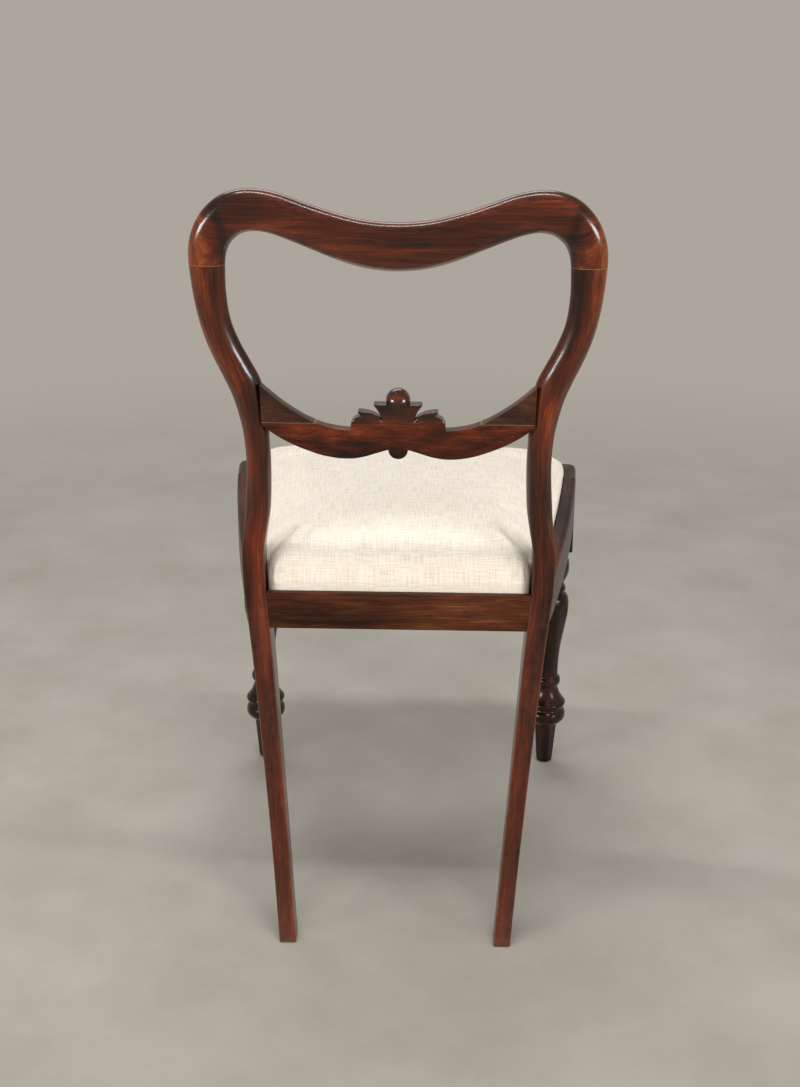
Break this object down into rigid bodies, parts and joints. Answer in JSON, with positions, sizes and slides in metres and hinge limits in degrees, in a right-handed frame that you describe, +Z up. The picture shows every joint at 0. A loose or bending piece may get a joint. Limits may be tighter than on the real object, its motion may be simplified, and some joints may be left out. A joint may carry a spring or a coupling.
{
  "type": "dining chair",
  "caption": "Balloon back dining chair in rosewood with a carved cross rail, turned and faceted front legs, raked rear legs and a linen drop-in seat.",
  "frame": {"origin": "on the floor, under the middle of the chair's overall length and width", "axes": "+Z up, the chair faces -Y, +X is right for someone who looks at its front"},
  "size_m": [0.468, 0.498, 0.88],
  "materials": {
    "rosewood": "french polished",
    "dark_rosewood": "french polished",
    "beech": "unfinished",
    "steel": "plain",
    "webbing": "woven jute",
    "hessian": "coarse weave",
    "stuffing": "curled hair",
    "linen": "plain woven linen",
    "bottom_cloth": "plain woven"
  },
  "bodies": {
    "chair": {"left_back_post": "rosewood", "right_back_post": "rosewood", "crest_rail": "rosewood", "cross_rail_board": "rosewood", "cross_rail_left_ear": "rosewood", "cross_rail_right_ear": "rosewood", "cross_rail_carved_crest": "rosewood", "rear_seat_rail": "rosewood", "left_side_rail": "dark_rosewood", "right_side_rail": "dark_rosewood", "front_seat_rail": "dark_rosewood", "left_front_leg": "dark_rosewood", "right_front_leg": "dark_rosewood", "crest_rail_dowels": "beech", "cross_rail_dowels": "beech", "seat_rail_dowels": "beech", "left_rear_corner_block": "beech", "right_rear_corner_block": "beech", "left_front_corner_block": "beech", "right_front_corner_block": "beech", "corner_block_screws": "steel"},
    "drop_in_seat": {"seat_frame_rear": "beech", "seat_frame_front": "beech", "seat_frame_left": "beech", "seat_frame_right": "beech", "seat_frame_dowels": "beech", "webbing_lengthwise": "webbing", "webbing_crosswise": "webbing", "webbing_tacks": "steel", "hessian": "hessian", "stuffing": "stuffing", "linen_cover": "linen", "bottom_cloth": "bottom_cloth", "bottom_tacks": "steel"}
  },
  "joints": [
    {"name": "seat_lift_out", "type": "slide", "parent": "chair", "child": "drop_in_seat", "axis": [0, -0.2588, 0.9659], "range_m": [0, 0.18]}
  ]
}
